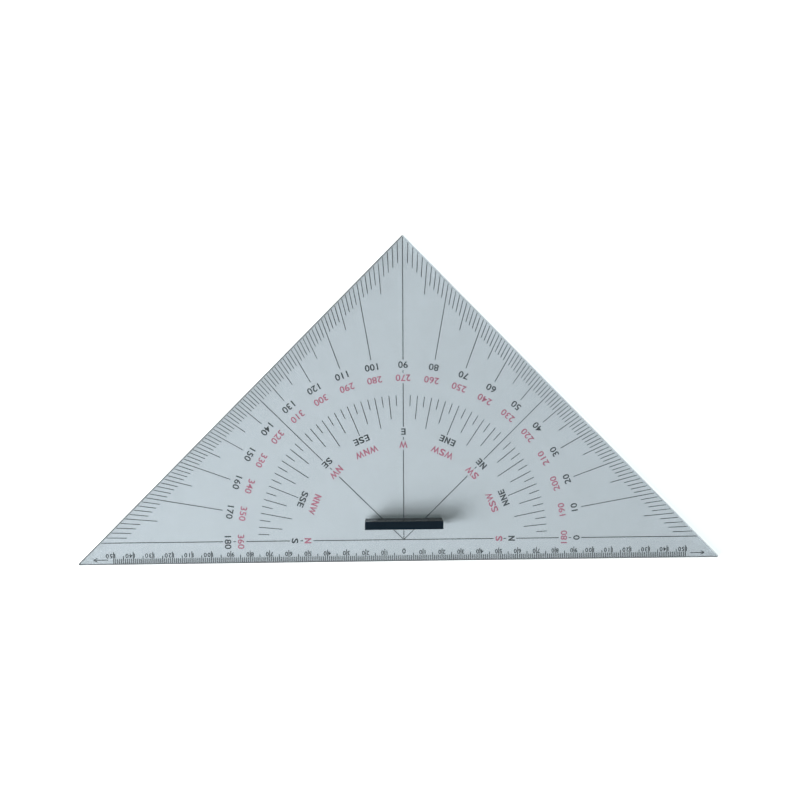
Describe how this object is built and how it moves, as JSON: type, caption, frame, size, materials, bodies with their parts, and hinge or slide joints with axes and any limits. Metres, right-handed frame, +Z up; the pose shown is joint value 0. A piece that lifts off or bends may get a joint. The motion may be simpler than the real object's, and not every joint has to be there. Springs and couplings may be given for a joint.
{
  "type": "navigation triangle",
  "caption": "Clear right-angled set square for chart work, with protractor, compass and millimetre scales on its underside and a plug-in bar handle.",
  "frame": {"origin": "middle of the long edge, on the face that lies on the chart", "axes": "+X along the long edge, +Y to the right-angled corner, +Z up through the handle"},
  "size_m": [0.3346, 0.1678, 0.0125],
  "materials": {
    "clear_plate": "polished clear sheet with a faint blue-grey cast",
    "black_plastic": "glossy moulded black",
    "black_ink": "printed black ink",
    "red_ink": "printed crimson ink"
  },
  "bodies": {
    "triangle": {"plate": "clear_plate", "axis_lines": "black_ink", "one_degree_lines": "black_ink", "five_degree_lines": "black_ink", "ten_degree_lines": "black_ink", "quarter_point_lines": "black_ink", "half_point_lines": "black_ink", "full_point_lines": "black_ink", "one_mm_lines": "black_ink", "five_mm_lines": "black_ink", "ten_mm_lines": "black_ink", "scale_arrows": "black_ink"},
    "handle": {"handle": "black_plastic"}
  },
  "joints": [
    {"name": "handle_pull", "type": "slide", "parent": "triangle", "child": "handle", "axis": [0, 0, 1], "range_m": [0, 0.02]}
  ]
}
